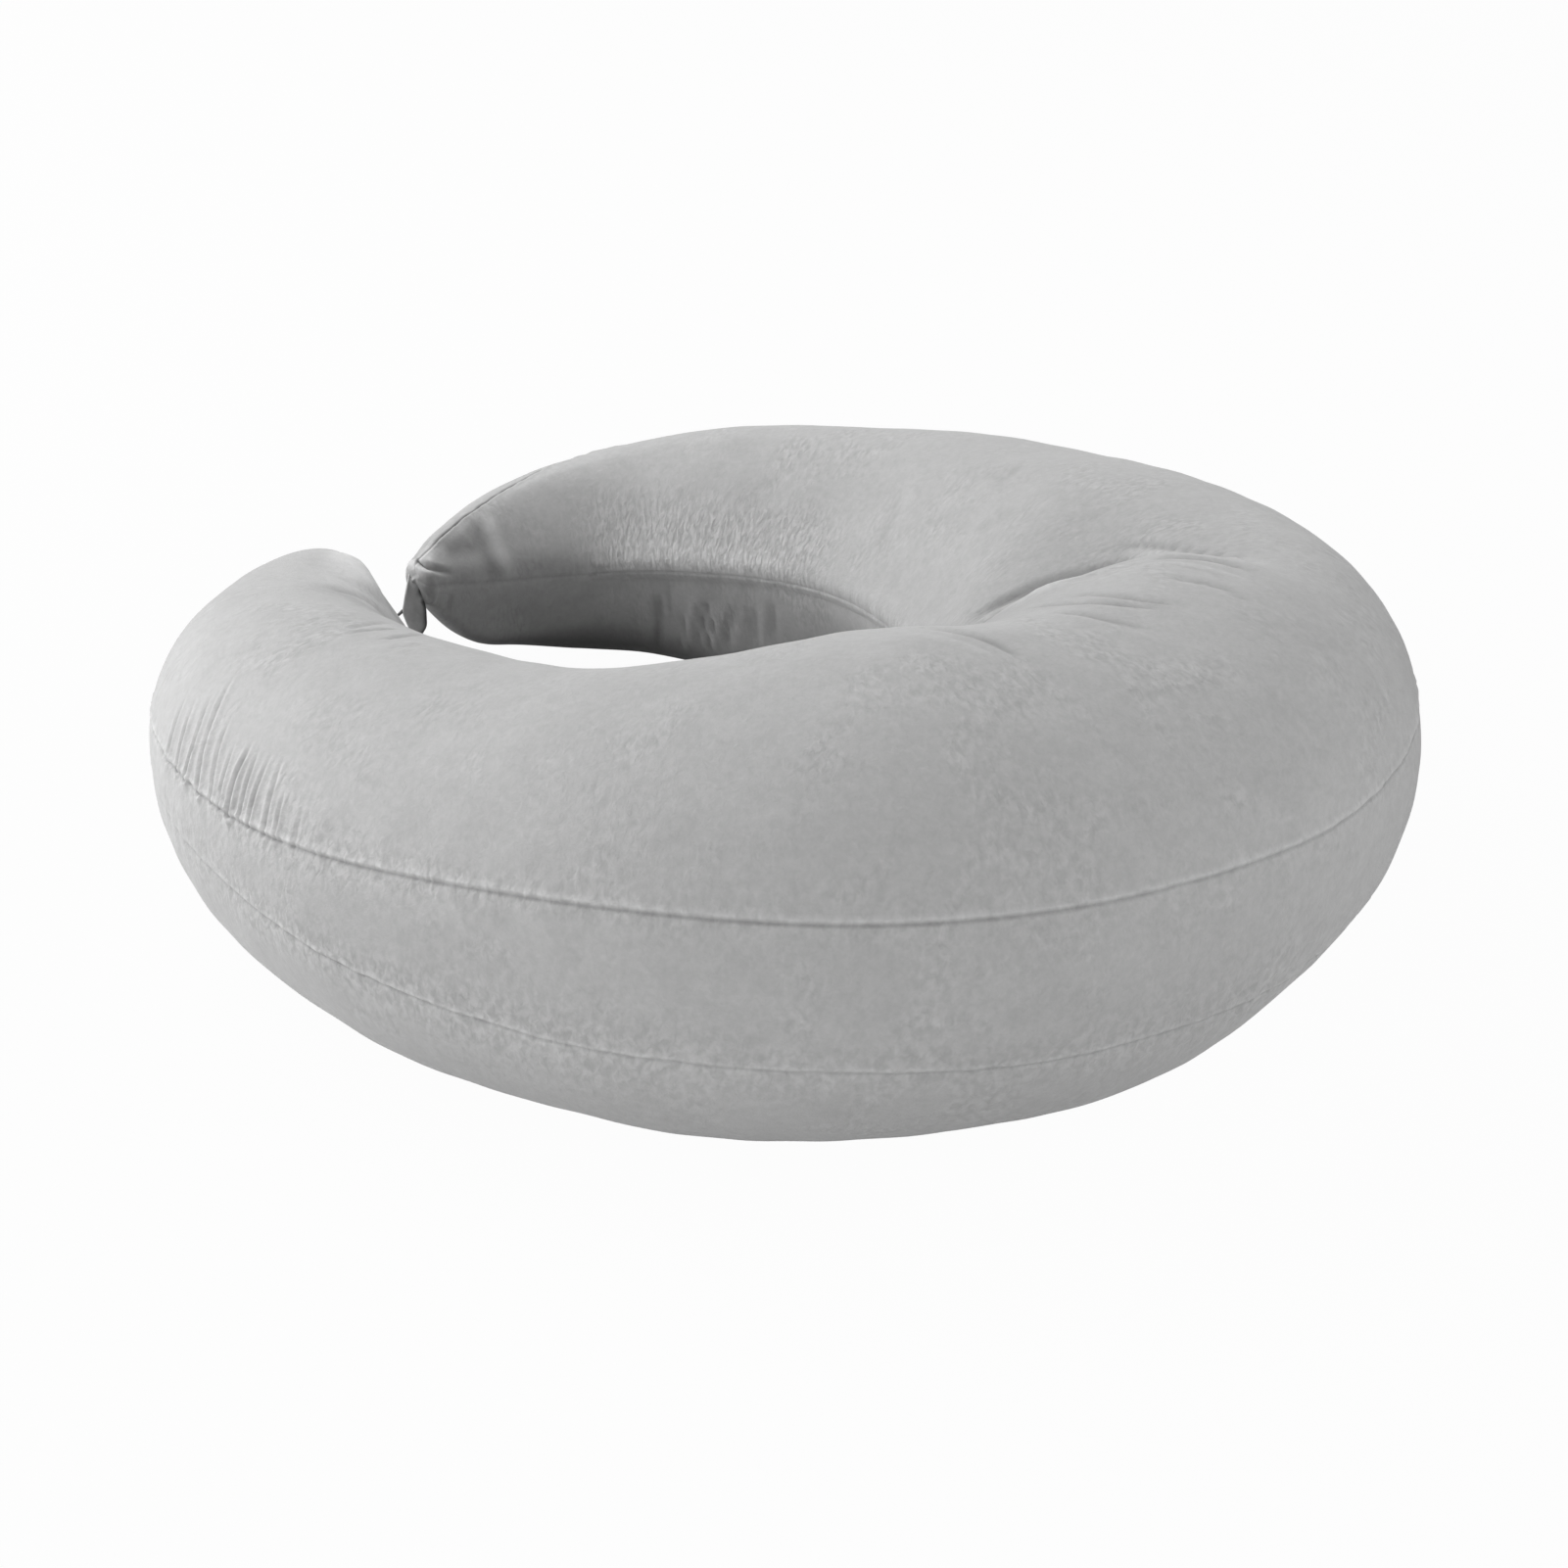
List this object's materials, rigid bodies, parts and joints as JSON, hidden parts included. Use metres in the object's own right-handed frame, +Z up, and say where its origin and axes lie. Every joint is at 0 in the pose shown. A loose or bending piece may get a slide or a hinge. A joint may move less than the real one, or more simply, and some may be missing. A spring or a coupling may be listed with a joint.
{
  "type": "reading pillow",
  "caption": "Large grey plush crescent pillow, bent round into a ring with its tapered ends nearly meeting; rests flat to support the arms, back or lap while reading.",
  "frame": {"origin": "middle of the footprint's bounding box, on the surface the pillow rests on", "axes": "+Z up; +X towards the thick side of the ring, -X towards the two ends; -Y towards the side seen in front"},
  "size_m": [0.8254, 0.8156, 0.2847],
  "materials": {
    "grey_plush": "matt short-pile plush",
    "dark_binding": "matt stitched binding"
  },
  "bodies": {
    "root": {"pillow_body": "grey_plush", "end_tab": "grey_plush", "tab_tongue": "dark_binding"}
  },
  "joints": []
}
